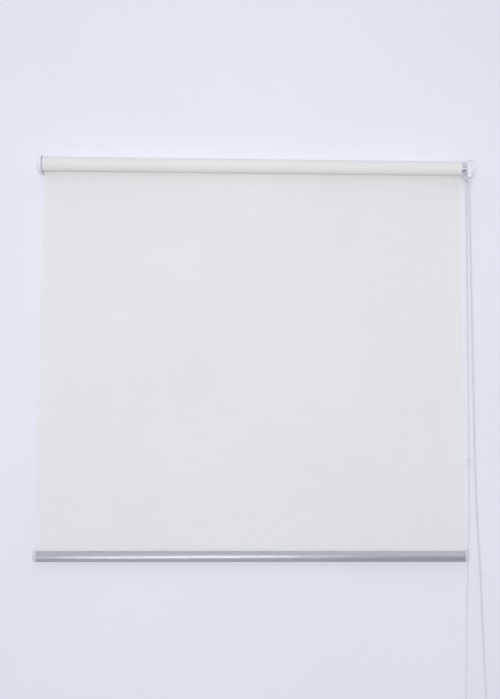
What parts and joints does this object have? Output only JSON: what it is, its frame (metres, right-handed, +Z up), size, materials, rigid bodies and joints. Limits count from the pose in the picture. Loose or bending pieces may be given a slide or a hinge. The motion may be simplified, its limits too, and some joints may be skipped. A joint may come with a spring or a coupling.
{
  "type": "roller blind",
  "caption": "Chain-operated roller blind on two wall brackets, with plain light fabric hanging from the back of the roller to an oval aluminium bottom rail.",
  "frame": {"origin": "centre of the rectangle of four wall-screw holes, on the face of the wall, level with the roller axis", "axes": "+X along the roller, from the idle end to the chain end; +Y into the wall, so the room is on the -Y side; +Z up"},
  "size_m": [1.0947, 0.0567, 1.3699],
  "materials": {
    "painted_steel": "satin",
    "white_plastic": "satin",
    "clutch_plastic": "satin",
    "spring_steel": "satin",
    "pin_steel": "satin",
    "bush_nylon": "matte",
    "anodised_aluminium": "satin",
    "blind_fabric": "matte",
    "adhesive_tape": "matte",
    "spline_plastic": "satin",
    "chain_plastic": "satin"
  },
  "bodies": {
    "root": {"left_bracket": "painted_steel", "right_bracket": "painted_steel", "left_bracket_cover": "white_plastic", "right_bracket_cover": "white_plastic", "clutch_core": "clutch_plastic", "chain_guard": "white_plastic", "retaining_clip": "spring_steel", "bead_chain": "chain_plastic", "chain_on_wheel": "chain_plastic"},
    "roller": {"roller_tube": "anodised_aluminium", "fabric_tape": "adhesive_tape", "fabric_roll": "blind_fabric", "idle_plug": "clutch_plastic", "idle_bush": "bush_nylon", "idle_spring": "spring_steel", "drive_hub": "clutch_plastic", "brake_springs": "spring_steel"},
    "chain_wheel": {"chain_wheel": "clutch_plastic"},
    "hem": {"fabric_panel": "blind_fabric", "fabric_spline": "spline_plastic", "bottom_rail": "anodised_aluminium", "rail_cap_left": "white_plastic", "rail_cap_right": "white_plastic"},
    "idle_pin": {"idle_pin": "pin_steel"},
    "lower_stop": {"lower_chain_stop": "chain_plastic"},
    "upper_stop": {"upper_chain_stop": "chain_plastic", "chain_connector": "chain_plastic"}
  },
  "joints": [
    {"name": "roller_turn", "type": "hinge", "parent": "root", "child": "roller", "pos_m": [0, -0.036, 0], "axis": [1, 0, 0], "range_deg": [0, 2736]},
    {"name": "chain_wheel_turn", "type": "hinge", "parent": "root", "child": "chain_wheel", "pos_m": [0.523, -0.036, 0], "axis": [1, 0, 0], "range_deg": [0, 2736]},
    {"name": "hem_lift", "type": "slide", "parent": "root", "child": "hem", "axis": [0, 0, 1], "range_m": [0, 0.9], "deforming": ["fabric_panel"]},
    {"name": "lower_stop_run", "type": "slide", "parent": "root", "child": "lower_stop", "axis": [0.0147, 0.02, -0.9997], "range_m": [0, 0.6841]},
    {"name": "upper_stop_run", "type": "slide", "parent": "root", "child": "upper_stop", "axis": [-0.002, -0.016, 0.9999], "range_m": [0, 0.6841]},
    {"name": "idle_pin_press", "type": "slide", "parent": "root", "child": "idle_pin", "axis": [1, 0, 0], "range_m": [0, 0.006], "stiffness_N_per_m": 800, "springref_m": -0.004, "deforming": ["idle_spring"]}
  ],
  "couplings": [
    {"joint": "chain_wheel_turn", "follows": "roller_turn", "ratio": 1},
    {"joint": "hem_lift", "follows": "roller_turn", "m_per_rad": 0.018847},
    {"joint": "lower_stop_run", "follows": "roller_turn", "m_per_rad": 0.014324},
    {"joint": "upper_stop_run", "follows": "roller_turn", "m_per_rad": 0.014324}
  ]
}
